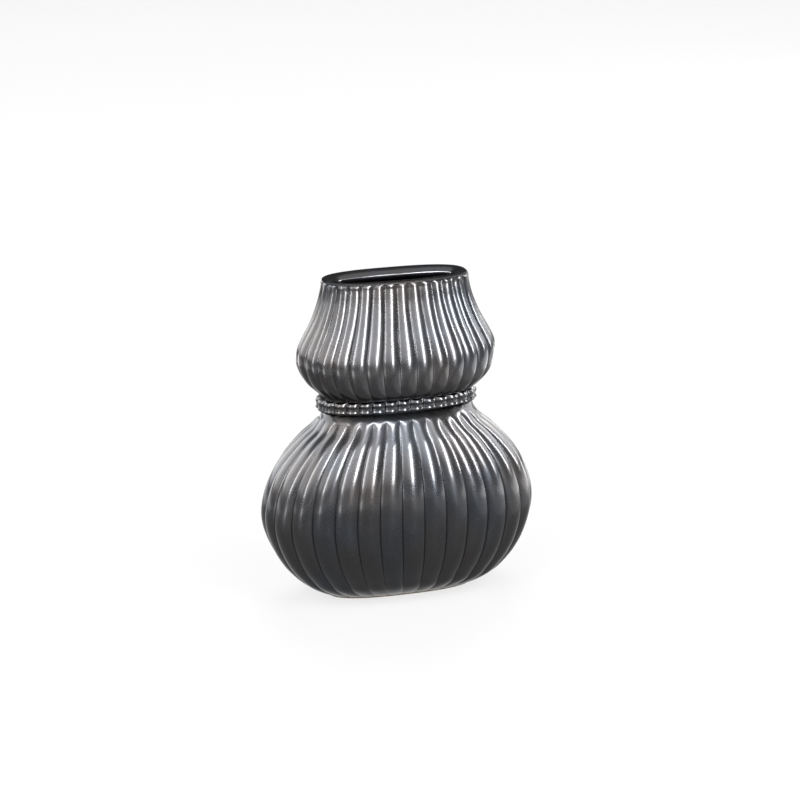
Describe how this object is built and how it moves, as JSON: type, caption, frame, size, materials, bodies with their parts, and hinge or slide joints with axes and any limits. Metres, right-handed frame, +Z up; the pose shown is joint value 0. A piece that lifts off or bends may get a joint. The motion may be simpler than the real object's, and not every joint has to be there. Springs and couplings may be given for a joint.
{
  "type": "stoneware vase",
  "caption": "Ribbed double gourd stoneware vase with an oval plan, a beaded ring at the waist and a narrow turned-in mouth, in a dark metallic lustre glaze.",
  "frame": {"origin": "centre of the foot on the surface that the vase stands on", "axes": "+X along the oval's length, +Y along its depth towards the back, +Z up"},
  "size_m": [0.1862, 0.0888, 0.22],
  "materials": {
    "lustre_glaze": "dark graphite lustre glaze, satin to gloss, with a faint fine speckle",
    "inside_glaze": "near black glossy glaze on the inside",
    "bare_stoneware": "bare fired clay, dry and finely grained"
  },
  "bodies": {
    "root": {"foot_ring": "bare_stoneware", "floor": "inside_glaze", "lower_bulb": "lustre_glaze", "waist_throat": "lustre_glaze", "bead_ring": "lustre_glaze", "upper_bulb": "lustre_glaze", "lip": "lustre_glaze"}
  },
  "joints": []
}
